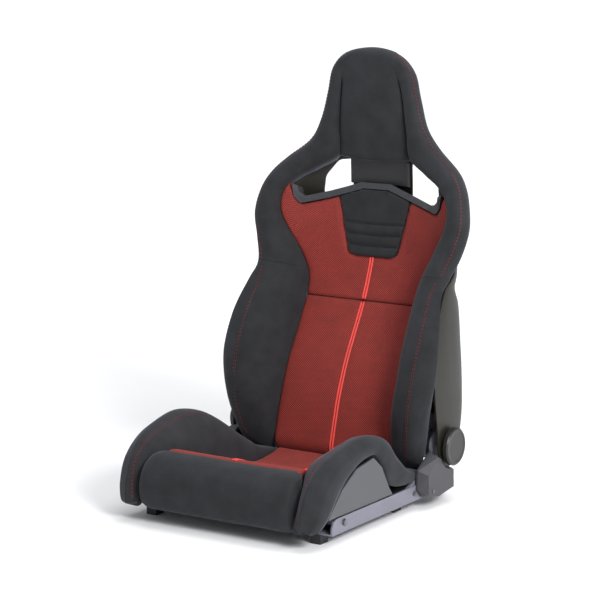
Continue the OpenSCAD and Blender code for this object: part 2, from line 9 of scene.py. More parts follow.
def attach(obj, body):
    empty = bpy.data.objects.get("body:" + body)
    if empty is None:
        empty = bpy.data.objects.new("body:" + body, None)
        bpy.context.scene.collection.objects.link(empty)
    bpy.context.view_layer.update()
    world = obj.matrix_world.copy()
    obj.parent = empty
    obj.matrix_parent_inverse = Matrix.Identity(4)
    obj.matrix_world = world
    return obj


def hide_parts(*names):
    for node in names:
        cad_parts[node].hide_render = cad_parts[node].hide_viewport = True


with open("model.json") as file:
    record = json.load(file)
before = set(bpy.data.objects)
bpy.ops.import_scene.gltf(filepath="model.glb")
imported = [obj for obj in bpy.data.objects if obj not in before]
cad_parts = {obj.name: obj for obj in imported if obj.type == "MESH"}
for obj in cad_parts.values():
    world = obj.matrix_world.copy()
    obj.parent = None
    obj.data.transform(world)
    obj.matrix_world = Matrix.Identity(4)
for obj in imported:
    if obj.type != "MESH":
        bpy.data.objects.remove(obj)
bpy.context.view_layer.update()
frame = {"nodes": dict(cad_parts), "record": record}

# ---- Camera -------------------------------------------------------------------

CAMERA_AZIMUTH = math.radians(33)
CAMERA_ELEVATION = math.radians(10.04)
CAMERA_DISTANCE = 4.962
AIM = Vector((0, 0.0827, 0.453))
camera_data = bpy.data.cameras.new("camera")
camera_data.sensor_width = 36
camera_data.lens = 143
camera = bpy.data.objects.new("camera", camera_data)
bpy.context.scene.collection.objects.link(camera)
towards = Vector((math.sin(CAMERA_AZIMUTH) * math.cos(CAMERA_ELEVATION),
                  -math.cos(CAMERA_AZIMUTH) * math.cos(CAMERA_ELEVATION), math.sin(CAMERA_ELEVATION)))
camera.location = AIM + towards * CAMERA_DISTANCE
camera.rotation_euler = towards.to_track_quat("Z", "Y").to_euler()
bpy.context.scene.camera = camera
bpy.context.scene.view_settings.view_transform = "Standard"

# ---- Curves and the backrest's own frame, in millimetres -------------------------

TILT = math.radians(18)
PIVOT_Y = 283
PIVOT_Z = 121


def hermite(a, b, ma, mb, u):
    return ((2 * u**3 - 3 * u**2 + 1) * a + (u**3 - 2 * u**2 + u) * ma
            + (3 * u**2 - 2 * u**3) * b + (u**3 - u**2) * mb)


def curve(t, keys):
    """The smooth line through [position, value] rows, at t."""
    i = 0
    while i < len(keys) - 2 and t >= keys[i + 1][0]:
        i += 1
    k = np.array(keys, float)

    def slope(j):
        a, b = max(j - 1, 0), min(j + 1, len(k) - 1)
        return (k[b, 1] - k[a, 1]) / (k[b, 0] - k[a, 0])

    h = k[i + 1, 0] - k[i, 0]
    u = min(max((t - k[i, 0]) / h, 0), 1)
    return hermite(k[i, 1], k[i + 1, 1], slope(i) * h, slope(i + 1) * h, u)


def rail(t, points):
    """The smooth line through 3-D points, t counting the points; it crosses the middle line squarely."""
    p = np.array(points, float)
    last = len(p) - 1

    def slope(j):
        if j == last and p[j, 0] == 0:
            return np.array([-p[j - 1, 0], 0, 0])
        a, b = max(j - 1, 0), min(j + 1, last)
        return (p[b] - p[a]) / (b - a)

    i = min(int(t), last - 1)
    return hermite(p[i], p[i + 1], slope(i), slope(i + 1), t - i)


def back_to_row(p):
    """[x, height, depth] in the backrest's frame, millimetres, to the row frame in metres."""
    p = np.asarray(p, float)
    x, s, d = p[..., 0], p[..., 1], p[..., 2]
    y = PIVOT_Y + s * math.sin(TILT) - d * math.cos(TILT)
    z = PIVOT_Z + s * math.cos(TILT) + d * math.sin(TILT)
    return np.stack([x, y, z], -1) / 1000


def seat_to_row(p):
    return np.asarray(p, float) / 1000


# ---- Materials -------------------------------------------------------------------


def new_material(name):
    m = bpy.data.materials.new(name)
    m.use_nodes = True
    return m, m.node_tree.nodes, m.node_tree.links, m.node_tree.nodes["Principled BSDF"]


def noise_node(nodes, links, vector, scale, detail=3.0, rough=0.55):
    n = nodes.new("ShaderNodeTexNoise")
    n.inputs["Scale"].default_value = scale
    n.inputs["Detail"].default_value = detail
    n.inputs["Roughness"].default_value = rough
    links.new(vector, n.inputs["Vector"])
    return n


def ramp_node(nodes, links, value, low, high, a, b):
    r = nodes.new("ShaderNodeValToRGB")
    r.color_ramp.elements[0].position = low
    r.color_ramp.elements[1].position = high
    r.color_ramp.elements[0].color = (*a, 1)
    r.color_ramp.elements[1].color = (*b, 1)
    links.new(value, r.inputs["Fac"])
    return r


def bump_node(nodes, links, height, strength, distance, before=None):
    b = nodes.new("ShaderNodeBump")
    b.inputs["Strength"].default_value = strength
    b.inputs["Distance"].default_value = distance
    links.new(height, b.inputs["Height"])
    if before is not None:
        links.new(before.outputs["Normal"], b.inputs["Normal"])
    return b


def math_node(nodes, links, operation, a, b):
    n = nodes.new("ShaderNodeMath")
    n.operation = operation
    for socket, v in zip(n.inputs, (a, b)):
        if isinstance(v, (int, float)):
            socket.default_value = v
        else:
            links.new(v, socket)
    return n.outputs[0]


def suede(name, dark, light, sheen):
    """Short-napped knitted cloth: mottled colour, fine fibre bump and a soft sheen."""
    m, nodes, links, shader = new_material(name)
    where = nodes.new("ShaderNodeTexCoord").outputs["Object"]
    broad = noise_node(nodes, links, where, 28, 4)
    fibre = noise_node(nodes, links, where, 900, 2)
    mix = math_node(nodes, links, "ADD", math_node(nodes, links, "MULTIPLY", broad.outputs["Fac"], 0.75),
                    math_node(nodes, links, "MULTIPLY", fibre.outputs["Fac"], 0.25))
    colour = ramp_node(nodes, links, mix, 0.35, 0.65, dark, light)
    links.new(colour.outputs["Color"], shader.inputs["Base Color"])
    fine = bump_node(nodes, links, fibre.outputs["Fac"], 0.25, 0.0006)
    soft = bump_node(nodes, links, broad.outputs["Fac"], 0.12, 0.004, fine)
    links.new(soft.outputs["Normal"], shader.inputs["Normal"])
    shader.inputs["Roughness"].default_value = 0.86
    shader.inputs["Specular IOR Level"].default_value = 0.3
    shader.inputs["Sheen Weight"].default_value = sheen
    shader.inputs["Sheen Roughness"].default_value = 0.45
    shader.inputs["Sheen Tint"].default_value = (0.8, 0.85, 1, 1)
    return m


def mesh_cloth(name, thread, shade, pitch):
    """Woven cloth with a fine diagonal rib, laid out on the piece's own unfolded surface."""
    m, nodes, links, shader = new_material(name)
    unfolded = nodes.new("ShaderNodeUVMap")
    unfolded.uv_map = "UVMap"
    where = unfolded.outputs["UV"]
    waves = []
    for angle in (38, -52):
        turn = nodes.new("ShaderNodeMapping")
        turn.inputs["Rotation"].default_value = (0, 0, math.radians(angle))
        links.new(where, turn.inputs["Vector"])
        w = nodes.new("ShaderNodeTexWave")
        w.inputs["Scale"].default_value = 1 / pitch / 3.2
        w.inputs["Distortion"].default_value = 1.2
        w.inputs["Detail"].default_value = 1
        w.inputs["Detail Scale"].default_value = 2
        links.new(turn.outputs["Vector"], w.inputs["Vector"])
        waves.append(w.outputs["Fac"])
    weave = math_node(nodes, links, "MULTIPLY", waves[0], waves[1])
    broad = noise_node(nodes, links, where, 22, 4)
    value = math_node(nodes, links, "ADD", math_node(nodes, links, "MULTIPLY", weave, 0.8),
                      math_node(nodes, links, "MULTIPLY", broad.outputs["Fac"], 0.2))
    colour = ramp_node(nodes, links, value, 0.05, 0.72, shade, thread)
    links.new(colour.outputs["Color"], shader.inputs["Base Color"])
    b = bump_node(nodes, links, weave, 0.35, 0.0008)
    links.new(b.outputs["Normal"], shader.inputs["Normal"])
    shader.inputs["Roughness"].default_value = 0.8
    shader.inputs["Specular IOR Level"].default_value = 0.3
    shader.inputs["Sheen Weight"].default_value = 0.08
    shader.inputs["Sheen Roughness"].default_value = 0.5
    shader.inputs["Sheen Tint"].default_value = (1, 0.5, 0.45, 1)
    return m


def hard(name, colour, rough, grain=0.0, metal=0.0, scale=700):
    """Moulded plastic or metal, with faint mottling and an optional moulded grain."""
    m, nodes, links, shader = new_material(name)
    where = nodes.new("ShaderNodeTexCoord").outputs["Object"]
    broad = noise_node(nodes, links, where, 9, 4)
    dark = tuple(c * 0.9 for c in colour)
    light = tuple(min(1, c * 1.1) for c in colour)
    c = ramp_node(nodes, links, broad.outputs["Fac"], 0.3, 0.7, dark, light)
    links.new(c.outputs["Color"], shader.inputs["Base Color"])
    r = ramp_node(nodes, links, broad.outputs["Fac"], 0.3, 0.7, (rough * 0.92,) * 3, (rough * 1.08,) * 3)
    links.new(r.outputs["Color"], shader.inputs["Roughness"])
    if grain:
        fine = noise_node(nodes, links, where, scale, 2)
        b = bump_node(nodes, links, fine.outputs["Fac"], grain, 0.0005)
        links.new(b.outputs["Normal"], shader.inputs["Normal"])
    shader.inputs["Metallic"].default_value = metal
    return m


LOOKS = {
    "black_suede": suede("black suede", (0.011, 0.0115, 0.013), (0.019, 0.0195, 0.022), 0.12),
    "red_mesh": mesh_cloth("red mesh", (0.42, 0.040, 0.028), (0.055, 0.010, 0.009), 0.0036),
    "shell_black": hard("shell", (0.012, 0.011, 0.007), 0.45, 0.25),
    "trim_grey": hard("trim", (0.028, 0.030, 0.035), 0.30),
    "valance_grey": hard("valance", (0.070, 0.073, 0.080), 0.5, 0.2),
    "cover_grey": hard("recliner cover", (0.040, 0.039, 0.046), 0.42, 0.15),
    "wheel_grey": hard("handwheel", (0.014, 0.013, 0.011), 0.36, 0.15),
    "block_black": hard("black plastic", (0.010, 0.010, 0.012), 0.55),
    "painted_steel": hard("painted steel", (0.165, 0.165, 0.205), 0.36),
    "bare_steel": hard("bare steel", (0.42, 0.42, 0.44), 0.33, 0, 1.0),
    "zinc_fasteners": hard("zinc", (0.20, 0.20, 0.21), 0.38, 0, 1.0),
}
PIPING_RED = hard("red piping", (0.62, 0.045, 0.035), 0.6, 0.3, 0, 1500)
STITCH_RED = hard("red thread", (0.13, 0.015, 0.020), 0.8)

# ---- Meshes ----------------------------------------------------------------------


def finish_piece(o, body, slot, look=None):
    """Puts a new piece in the scene with its look and its body."""
    bpy.context.scene.collection.objects.link(o)
    o.data.materials.append(look or LOOKS[slot])
    o.data.polygons.foreach_set("use_smooth", [True] * len(o.data.polygons))
    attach(o, body)
    return o


def surface(name, grid, closed=False, capped=False):
    """Mesh over a grid of points (rows, columns), in metres, with its unfolded lengths as UVs."""
    grid = np.asarray(grid, float)
    rows, columns = grid.shape[:2]
    verts = grid.reshape(-1, 3)
    across = np.zeros((rows, columns + 1))
    loop = np.concatenate([grid, grid[:, :1]], 1)
    across[:, 1:] = np.cumsum(np.linalg.norm(np.diff(loop, axis=1), axis=2), 1)
    across -= across[:, columns // 2:columns // 2 + 1]
    middle = grid[:, columns // 2]
    along = np.concatenate([[0], np.cumsum(np.linalg.norm(np.diff(middle, axis=0), axis=1))])
    faces, uvs = [], []
    for i in range(rows - 1):
        for j in range(columns if closed else columns - 1):
            k = (j + 1) % columns
            faces.append((i * columns + j, i * columns + k, (i + 1) * columns + k, (i + 1) * columns + j))
            uvs += [(across[i, j], along[i]), (across[i, j + 1], along[i]),
                    (across[i + 1, j + 1], along[i + 1]), (across[i + 1, j], along[i + 1])]
    if capped:
        for i, order in ((0, -1), (rows - 1, 1)):
            ring = [i * columns + j for j in range(columns)][::order]
            faces.append(tuple(ring))
            uvs += [(verts[v][0], verts[v][2]) for v in ring]
    mesh = bpy.data.meshes.new(name)
    mesh.from_pydata([tuple(v) for v in verts], [], faces)
    layer = mesh.uv_layers.new(name="UVMap")
    layer.data.foreach_set("uv", [c for uv in uvs for c in uv])
    if closed:
        face_outwards(mesh)
    mesh.update()
    return bpy.data.objects.new(name, mesh)


def face_outwards(mesh):
    b = bmesh.new()
    b.from_mesh(mesh)
    bmesh.ops.recalc_face_normals(b, faces=b.faces)
    b.to_mesh(mesh)
    b.free()


def even_line(points, step):
    """The polyline resampled at equal steps of length."""
    p = np.asarray(points, float)
    length = np.concatenate([[0], np.cumsum(np.linalg.norm(np.diff(p, axis=0), axis=1))])
    n = max(int(round(length[-1] / step)), 2)
    at = np.linspace(0, length[-1], n + 1)
    return np.stack([np.interp(at, length, p[:, k]) for k in range(3)], 1)


def tube_mesh(lines, radius, sides=8, flat=1.0, normals=None):
    """Verts and faces of round tubes along polylines; flat below 1 squashes them towards the surface."""
    verts, faces = [], []
    for li, line in enumerate(lines):
        p = np.asarray(line, float)
        n = len(p)
        tangent = np.gradient(p, axis=0)
        tangent /= np.linalg.norm(tangent, axis=1)[:, None]
        up = np.array([0, -1, 0.3]) if normals is None else np.asarray(normals[li], float)
        up = np.broadcast_to(up, p.shape)
        side = np.cross(tangent, up)
        side /= np.linalg.norm(side, axis=1)[:, None]
        up = np.cross(side, tangent)
        start = len(verts)
        for i in range(n):
            taper = 0.55 if i in (0, n - 1) else 1.0
            for k in range(sides):
                a = 2 * math.pi * k / sides
                verts.append(p[i] + radius * taper * (math.cos(a) * side[i] + flat * math.sin(a) * up[i]))
        for i in range(n - 1):
            for k in range(sides):
                l = (k + 1) % sides
                faces.append((start + i * sides + k, start + i * sides + l,
                              start + (i + 1) * sides + l, start + (i + 1) * sides + k))
        faces.append(tuple(start + k for k in range(sides))[::-1])
        faces.append(tuple(start + (n - 1) * sides + k for k in range(sides)))
    return verts, faces


def tubes(name, lines, radius, body, slot, look, sides=8, flat=1.0, normals=None):
    verts, faces = tube_mesh(lines, radius, sides, flat, normals)
    mesh = bpy.data.meshes.new(name)
    mesh.from_pydata([tuple(v) for v in verts], [], faces)
    mesh.update()
    return finish_piece(bpy.data.objects.new(name, mesh), body, slot, look)


def stitches(name, lines, body, look, length=0.0060, gap=0.0022, radius=0.0006, normals=None):
    """Rows of short raised threads along polylines."""
    parts, ups = [], []
    for li, line in enumerate(lines):
        p = even_line(line, 0.001)
        size = np.linalg.norm(np.diff(p, axis=0), axis=1).mean()
        step, take = int(round((length + gap) / size)), max(int(round(length / size)), 2)
        up = None if normals is None else normals[li]
        for i in range(0, len(p) - take, step):
            parts.append(p[i:i + take + 1:max(take // 2, 1)])
            if up is not None:
                k = min(int(i / len(p) * len(up)), len(up) - 1)
                ups.append(up[k])
    return tubes(name, parts, radius, body, "black_suede", look, 5, 0.8, ups if ups else None)


def wavy(grid, size, amount, seed):
    """Small uneven swell along the surface normal, so cloth does not look machined."""
    g = np.asarray(grid, float)
    du = np.gradient(g, axis=1)
    dv = np.gradient(g, axis=0)
    n = np.cross(du, dv)
    n /= np.maximum(np.linalg.norm(n, axis=2), 1e-9)[..., None]
    out = g.copy()
    for i in range(g.shape[0]):
        for j in range(g.shape[1]):
            v = noise.noise(Vector(g[i, j] / size) + Vector((seed * 7.3, 0, 0)))
            out[i, j] += n[i, j] * amount * v
    return out


def apply_modifiers(o):
    with bpy.context.temp_override(object=o, active_object=o, selected_objects=[o]):
        for m in list(o.modifiers):
            bpy.ops.object.modifier_apply(modifier=m.name)


def bevel(o, width, segments, angle):
    m = o.modifiers.new("bevel", "BEVEL")
    m.width = width
    m.segments = segments
    m.limit_method = "ANGLE"
    m.angle_limit = math.radians(angle)


# ---- Backrest border: side bolsters, shoulders and head surround -------------------

INNER = [[160, -57, 21], [152, -28, 40], [152, 40, 50], [152, 130, 48], [150, 220, 32],
         [150, 300, 19], [155, 345, 22], [182, 400, 44], [212, 455, 80], [213, 505, 92], [186, 540, 88],
         [138, 570, 78], [94, 603, 74], [89, 660, 99], [80, 728, 129], [70, 768, 146], [45, 787, 153],
         [0, 792, 155]]
CREST = [[186, -62, 36], [206, -36, 80], [222, 40, 128], [226, 130, 141], [220, 220, 131],
         [212, 300, 112], [211, 345, 102], [228, 400, 102], [246, 455, 113], [240, 508, 115], [217, 550, 110],
         [178, 585, 104], [133, 622, 105], [111, 668, 119], [98, 730, 138], [84, 780, 156], [53, 806, 163],
         [0, 810, 164]]
OUTER = [[214, -60, 26], [230, -38, 58], [253, 40, 100], [271, 130, 121], [264, 220, 124],
         [247, 300, 110], [245, 345, 87], [261, 400, 82], [272, 455, 88], [263, 510, 90], [246, 550, 86],
         [218, 585, 80], [164, 630, 76], [134, 672, 95], [116, 730, 111], [101, 784, 131], [64, 819, 145],
         [0, 831, 148]]
REAR = [[208, -55, 8], [224, -32, 34], [244, 40, 72], [248, 130, 113], [246, 220, 121],
        [238, 300, 107], [233, 345, 78], [229, 400, 55], [233, 455, 55], [221, 510, 55], [205, 550, 53],
        [181, 580, 51], [133, 625, 54], [107, 668, 70], [92, 728, 90], [78, 780, 110], [48, 811, 125],
        [0, 823, 128]]
# Rail positions of the seam between bolster and surround, and of the top of the head
JOIN = 6
TOP = len(INNER) - 1
SEAM_TUCK = 18
# The backrest's lower end stays inside this radius of the recline axis, and the cushion outside the other.
FOOT_RADIUS = 75.5
SWING_RADIUS = 77
FOOT_REACH = 9


def over_crest(inner, crest, outer, q):
    """Quarter ellipses from the inner seam up to the crest (q 0 to 0.5) and down to the outer edge (to 1)."""
    if q <= 0.5:
        w = math.radians(180 * q)
        p = crest + (inner - crest) * math.cos(w)
        p[2] = inner[2] + (crest[2] - inner[2]) * math.sin(w)
    else:
        w = math.radians(180 * (q - 0.5))
        p = crest + (outer - crest) * math.sin(w)
        p[2] = outer[2] + (crest[2] - outer[2]) * math.cos(w)
    return p


def border_point(t, q, side=1):
    """A point of the border at rail position t; q runs 0 to 1 from the inner seam over the crest to the
    outer edge, and on to 2 round to the rear."""
    a, c, o, r = (rail(t, k) for k in (INNER, CREST, OUTER, REAR))
    if q <= 1:
        p = over_crest(a, c, o, q)
    else:
        w = math.radians(90 * (q - 1))
        p = r + (o - r) * math.cos(w)
        p[2] = o[2] - (o[2] - r[2]) * math.sin(w)
    return np.array([side * p[0], p[1], p[2]])


def tucked(ring, scale):
    """The ring drawn in towards its middle, for a seam."""
    return ring.mean(0) + (ring - ring.mean(0)) * scale


def border_ring(t, side=1):
    qs = np.concatenate([np.linspace(0, 1, 34), np.linspace(1, 2, 10)[1:]])
    ring = [border_point(t, q, side) for q in qs]
    a = rail(t, INNER)
    ring.append(np.array([side * a[0], a[1], a[2] - SEAM_TUCK]))
    return np.array(ring)


def rounded_end(rings, inset, count):
    """Draws the first rings of a loft in towards their middle, so that its end is rounded over."""
    rings = [np.array(r) for r in rings]
    for i in range(count):
        k = math.sqrt(max(1 - (1 - i / count)**2, 0))
        centre = rings[i].mean(0)
        scale = 1 - inset * (1 - k)
        rings[i] = centre + (rings[i] - centre) * scale
    return rings


def border_cloth(rings, sign):
    """The border's cloth with its swell, which carries on unbroken from one piece to the next."""
    return wavy(back_to_row(np.array(rings)), 0.075, 0.0015 * sign, 2.3)


def back_bolster(side, word):
    ts = np.concatenate([np.linspace(0, 0.6, 9), np.arange(0.7, JOIN - 0.1, 0.09), [JOIN - 0.03, JOIN]])
    rings = [border_ring(t, side) for t in ts]
    foot = rings[0] - [0, FOOT_REACH, 0]
    foot[:, 1:] *= np.minimum(1, FOOT_RADIUS / np.hypot(foot[:, 1], foot[:, 2]))[:, None]
    rings = [rings[0] + (foot - rings[0]) * k for k in (1, 0.75, 0.4)] + rings
    rings = rounded_end(rings, 0.05, 3) + [tucked(rings[-1], 0.97)]
    o = finish_piece(surface(f"back_bolster_{word}_cover", border_cloth(rings, side), True, True), "backrest",
                     "black_suede")
    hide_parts(f"back_bolster_{word}")


def surround():
    up = [(t, 1) for t in np.concatenate([[JOIN, JOIN + 0.04], np.arange(JOIN + 0.1, TOP, 0.09)])]
    both = up + [(TOP, 1)] + [(t, -1) for t, _ in up[::-1]]
    rings = [border_ring(t, s) for t, s in both]
    rings = [tucked(rings[0], 0.97)] + rings + [tucked(rings[-1], 0.97)]
    o = finish_piece(surface("shoulder_and_head_surround", border_cloth(rings, 1), True, True), "backrest",
                     "black_suede")
    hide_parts("shoulder_surround")


back_bolster(1, "right")
back_bolster(-1, "left")
surround()


# Twin rows of stitches lie this far either side of their line, and this far off the cloth in millimetres.
STITCH_LANES = (-0.012, 0.012)
STITCH_LIFT = 0.4
# Where the rows run on the border: first and last rail position, points, and q along the way
BOLSTER_ROW = (0.9, JOIN - 0.15, 70, [0.9, 3, 5, JOIN], [0.50, 0.50, 0.56, 0.66])
SURROUND_ROW = (JOIN + 0.1, TOP - 0.9, 110, [JOIN, 8, 11, 13, TOP], [0.68, 0.72, 0.74, 0.80, 0.80])


def on_border(ts, qs, side):
    """A line on the border's surface, lifted off it, and its outward directions."""
    def at(t, q):
        return back_to_row(border_point(t, q, side))

    line, ups = [], []
    for t, q in zip(ts, qs):
        p = at(t, q)
        dq = at(t, min(q + 0.01, 2)) - at(t, q - 0.01)
        dt = at(min(t + 0.02, TOP), q) - at(t - 0.02, q)
        n = np.cross(dq, dt) * side
        n /= max(np.linalg.norm(n), 1e-9)
        line.append(p + n * STITCH_LIFT / 1000)
        ups.append(n)
    return np.array(line), np.array(ups)


rows, row_ups = [], []
for side in (1, -1):
    for offset in STITCH_LANES:
        for first, last, count, places, levels in (BOLSTER_ROW, SURROUND_ROW):
            ts = np.linspace(first, last, count)
            line, ups = on_border(ts, np.interp(ts, places, levels) + offset, side)
            rows.append(line)
            row_ups.append(ups)
stitches("border_stitching", rows, "backrest", STITCH_RED, normals=row_ups)

# ---- Centre panels ------------------------------------------------------------------

MIDDLE = [[-66, 28], [-48, 43], [-20, 47], [20, 49], [70, 50], [150, 43], [240, 24], [290, 14], [340, 9],
          [400, 9], [470, 23], [545, 40], [600, 50]]
SIDE = [[-66, 32], [-48, 46], [-20, 50], [40, 52], [130, 48], [220, 32], [300, 19], [345, 22], [400, 44],
        [455, 80], [505, 92], [540, 88], [600, 74]]
HALF = [[-66, 148], [-48, 151], [-20, 152], [130, 152], [220, 150], [300, 150], [345, 155], [400, 182],
        [455, 212], [505, 213], [540, 186], [600, 96]]
# Height of the seam between the two panels, and the crown of each panel across its width
SEAM = 290
CROWN = 2.5
GROOVE_WIDTH = 7


def panel_depth(u, s):
    """Depth of the panels' front at height s and a fraction u of their half width."""
    return curve(s, MIDDLE) + (curve(s, SIDE) - curve(s, MIDDLE)) * abs(u)**2.4


def roll_off(distance, width, drop):
    """How far a padded edge has rolled down at a distance from its seam."""
    k = min(max(distance / width, 0), 1)
    return drop * (1 - math.sqrt(1 - (1 - k)**2))


def trim_edge(x):
    """Height of the trim's lower edge at x."""
    return float(np.interp(abs(x), [0, 32, 174, 187, 191, 200], [535, 535, 486, 497, 516, 532]))


def patch_half(s):
    return float(np.interp(s, [390, 392, 395, 399, 404, 520, 560], [46, 53, 57, 60.5, 63, 92, 92]))


def panel_grid(low, high, rows, extra):
    """Front of a padded panel from height low to high(x), which extra(x, s) raises or lowers."""
    grid = []
    vs = np.concatenate([[0, 0.004, 0.01, 0.018], np.linspace(0.03, 0.97, rows), [0.982, 0.99, 0.996, 1]])
    edge_us = np.array([0.955, 0.975, 0.99, 1])
    us = np.concatenate([-edge_us[::-1], np.linspace(-0.93, 0.93, 61), edge_us])
    for v in vs:
        row = []
        for u in us:
            s = low + v * (high(0) - low)
            for _ in range(4):
                x = u * (curve(s, HALF) - 0.6)
                top = high(x)
                s = low + v * (top - low)
            d = panel_depth(u, s) + CROWN * (1 - u * u)
            edge = (1 - abs(u)) * curve(s, HALF)
            d -= roll_off(edge, 14, 7) + roll_off(top - s, 12, 7) + roll_off(s - low, 12, 7)
            row.append([x, s, d + extra(x, s)])
        grid.append(row)
    return back_to_row(np.array(grid))


def backed(name, front, depth):
    """A padded panel: the front surface, with its rim carried back by depth along the panel's own depth."""
    back_dir = np.array([0, math.cos(TILT), -math.sin(TILT)]) * depth
    shell = np.concatenate([front[:1] + back_dir, front, front[-1:] + back_dir], 0)
    shell = np.concatenate([shell[:, :1] + back_dir, shell, shell[:, -1:] + back_dir], 1)
    shell[0, 0] -= back_dir
    shell[0, -1] -= back_dir
    shell[-1, 0] -= back_dir
    shell[-1, -1] -= back_dir
    return surface(name, shell)


def centre_groove(x, s):
    """The shallow groove in which the piping lies, the same at every height s."""
    return -CROWN * math.exp(-(x / GROOVE_WIDTH)**2)


lower_front = panel_grid(-66, lambda x: SEAM - 0.5, 70, centre_groove)
lower = finish_piece(backed("lower_back_panel_cover", lower_front, 0.010), "backrest", "red_mesh")
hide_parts("lower_back_panel")


# Foot of the patch, and the recess in the upper panel that it lies in
PATCH_LOW = 390.6
RECESS = 9.0
RECESS_RIM = 6


def upper_extra(x, s):
    inside = min(patch_half(max(s, 390)) - abs(x), s - 390)
    if inside > -RECESS_RIM:
        return -RECESS * min(1, (inside + RECESS_RIM) / RECESS_RIM)
    return centre_groove(x, s) * min(max((388 - s) / 3, 0), 1)


upper_front = panel_grid(SEAM + 0.5, trim_edge, 64, upper_extra)
upper = finish_piece(backed("upper_back_panel_cover", upper_front, 0.010), "backrest", "red_mesh")
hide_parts("upper_back_panel")

# Patch with three cross channels, at these heights
CHANNELS = (412, 436, 460)
CHANNEL_DEPTH = 8.5
CHANNEL_WIDTH = 3.6
RIB_SWELL = 2.4


def patch_grid():
    grid = []
    for v in np.linspace(0, 1, 90):
        row = []
        for u in np.concatenate([[-1, -0.985, -0.96], np.linspace(-0.93, 0.93, 41), [0.96, 0.985, 1]]):
            s = PATCH_LOW + v * (trim_edge(0) - PATCH_LOW)
            for _ in range(4):
                x = u * (patch_half(s) - 0.5)
                top = trim_edge(x) - 0.5
                s = PATCH_LOW + v * (top - PATCH_LOW)
            puff = 3.2 - roll_off((1 - abs(u)) * 80, 9, 5)
            puff -= roll_off(s - PATCH_LOW, 9, 5) + roll_off(top - s, 8, 4)
            for c in CHANNELS:
                bend = s - c - 2.5 * (x / 80)**2
                reach = min(1, (1 - abs(u)) / 0.06)
                puff -= CHANNEL_DEPTH * math.exp(-abs(bend / CHANNEL_WIDTH)**1.3) * reach
            if s < CHANNELS[-1] + 8:
                puff += RIB_SWELL
            row.append([x, s, panel_depth(x / curve(s, HALF), s) + puff])
        grid.append(row)
    return back_to_row(np.array(grid))


patch = finish_piece(backed("shoulder_patch_cover", patch_grid(), 0.008), "backrest", "black_suede")
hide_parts("shoulder_patch")

# Twin red cords up the middle of both panels
PIPING_X = (-3.1, 3.1)
PIPING_LIFT = 0.8
PIPING_RADIUS = 0.0024
cords = []
for low, high in ((-60, SEAM - 3), (SEAM + 3, 388)):
    for x in PIPING_X:
        cords.append(back_to_row([[x, s, panel_depth(0, s) + CROWN + centre_groove(x, s) + PIPING_LIFT]
                                  for s in np.linspace(low, high, 60)]))
tubes("back_twin_piping", cords, PIPING_RADIUS, "backrest", "red_mesh", PIPING_RED, 10)

# Head pad: up the front between its side seams, over the top of the head and down to the shell


def at_x(points, x):
    """Where a rail over the head stands at a distance x from the middle."""
    ts = np.linspace(14, TOP, 121)
    p = np.array([rail(t, points) for t in ts])
    return [np.interp(-abs(x), -p[:, 0], p[:, k]) for k in (1, 2)]


# Heights of the head pad's hem and of the line where it turns over the top
HEAD_LOW = 603
HEAD_TURN = 745
HEM_DIP = 9


def head_pad_point(u, v):
    """v runs 0 to 1 up the front, 1 to 2 over the top and 2 to 3 down to the shell's edge."""
    if v <= 1:
        s = HEAD_LOW + v * (HEAD_TURN - HEAD_LOW)
        a = rail(float(np.interp(s, [603, 660, 728, 745], [12, 13, 14, 14.42])), INNER)
        low = s + HEM_DIP * (1 - v) * (u * u - 1)
        d = a[2] + 10 * (1 - u * u) - roll_off(s - HEAD_LOW, 14, 9)
        return np.array([u * (a[0] - 0.8), low, d])
    if v > 2:
        top = head_pad_point(u, 2)
        rear = at_x(REAR, top[0])
        return top + (np.array([top[0], rear[0] - 3, rear[1] - 5]) - top) * (v - 2)
    turn = head_pad_point(u, 1)
    below = head_pad_point(u, 0.9)
    x = turn[0] * (1 - 0.10 * (v - 1))
    crest, outer = at_x(CREST, x), at_x(OUTER, x)
    top = np.array([x, crest[0], crest[1] + 0.8])
    if v <= 1.6:
        k = (v - 1) / 0.6
        slope = (turn - below) / np.linalg.norm(turn - below)
        span = np.linalg.norm(top - turn)
        return hermite(turn, top, slope * span, np.array([0, 0.85, 0.1]) * span, k)
    w = math.radians(90 * (v - 1.6) / 0.4)
    end = np.array([x, outer[0] + 0.6, outer[1]])
    return np.array([x, top[1] + (end[1] - top[1]) * math.sin(w), end[2] + (top[2] - end[2]) * math.cos(w)])


head_rows = []
head_vs = [[0, 0.008, 0.02, 0.04], np.linspace(0.06, 1, 40), np.linspace(1.02, 2, 50)]
head_vs.append(np.linspace(2.1, 3, 10))
head_edge = np.array([0.95, 0.975, 0.99, 1])
for v in np.concatenate(head_vs):
    row = []
    for u in np.concatenate([-head_edge[::-1], np.linspace(-0.92, 0.92, 45), head_edge]):
        p = head_pad_point(u, v)
        drop = roll_off((1 - abs(u)) * 75, 13, 9)
        over = math.radians(90 * min(max((v - 1.6) / 0.4, 0), 1))
        row.append(p - drop * np.array([0, math.sin(over), math.cos(over)]))
    head_rows.append(row)
head = finish_piece(backed("head_pad_cover", wavy(back_to_row(np.array(head_rows)), 0.06, 0.0008, 5), 0.012),
                    "backrest", "black_suede")
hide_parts("head_pad")

# ---- Backrest shell -----------------------------------------------------------------

